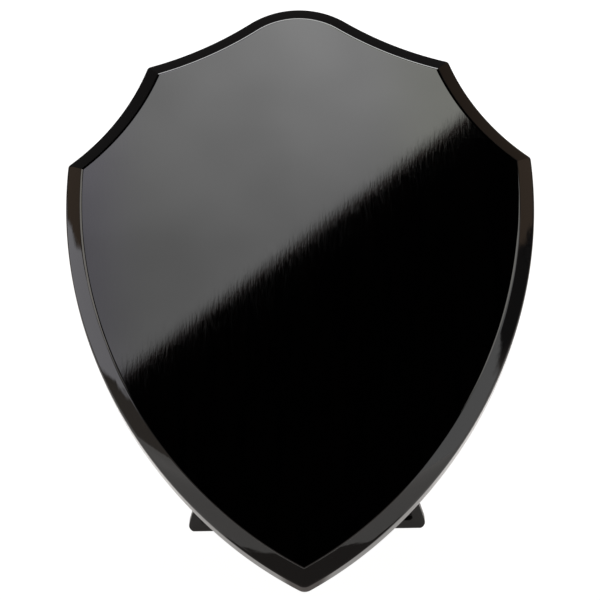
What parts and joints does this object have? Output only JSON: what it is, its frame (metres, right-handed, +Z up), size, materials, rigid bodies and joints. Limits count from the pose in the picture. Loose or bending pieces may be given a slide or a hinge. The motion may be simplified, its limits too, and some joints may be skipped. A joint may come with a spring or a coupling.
{
  "type": "shield plaque",
  "caption": "Blank bevelled shield plaque in gloss-lacquered wood, standing on its tip and a fold-out easel strut, with a keyhole hanger in its back.",
  "frame": {"origin": "middle of the whole plaque's footprint, on the surface that its tip and strut feet stand on", "axes": "+Z up, the front faces -Y and leans back, X runs across the plaque and x = 0 is its plane of symmetry"},
  "size_m": [0.156, 0.099, 0.1845],
  "materials": {
    "lacquer": "black high-gloss lacquer over wood, faint vertical grain telegraphing through",
    "strut_plastic": "satin brown-black moulded plastic",
    "zinc_plate": "zinc-plated pressed steel",
    "screw_steel": "zinc-plated wood screws",
    "pin_steel": "drawn steel pin"
  },
  "bodies": {
    "plaque": {"shield_board": "lacquer", "hanger_plate": "zinc_plate", "hanger_screws": "screw_steel", "strut_bracket": "strut_plastic", "bracket_screws": "screw_steel", "hinge_pin": "pin_steel", "push_nut": "zinc_plate"},
    "leg": {"strut_leg": "strut_plastic"}
  },
  "joints": [
    {"name": "leg_fold", "type": "hinge", "parent": "plaque", "child": "leg", "pos_m": [0, 0.01382, 0.09746], "axis": [-1, 0, 0], "range_deg": [0, 45]}
  ]
}
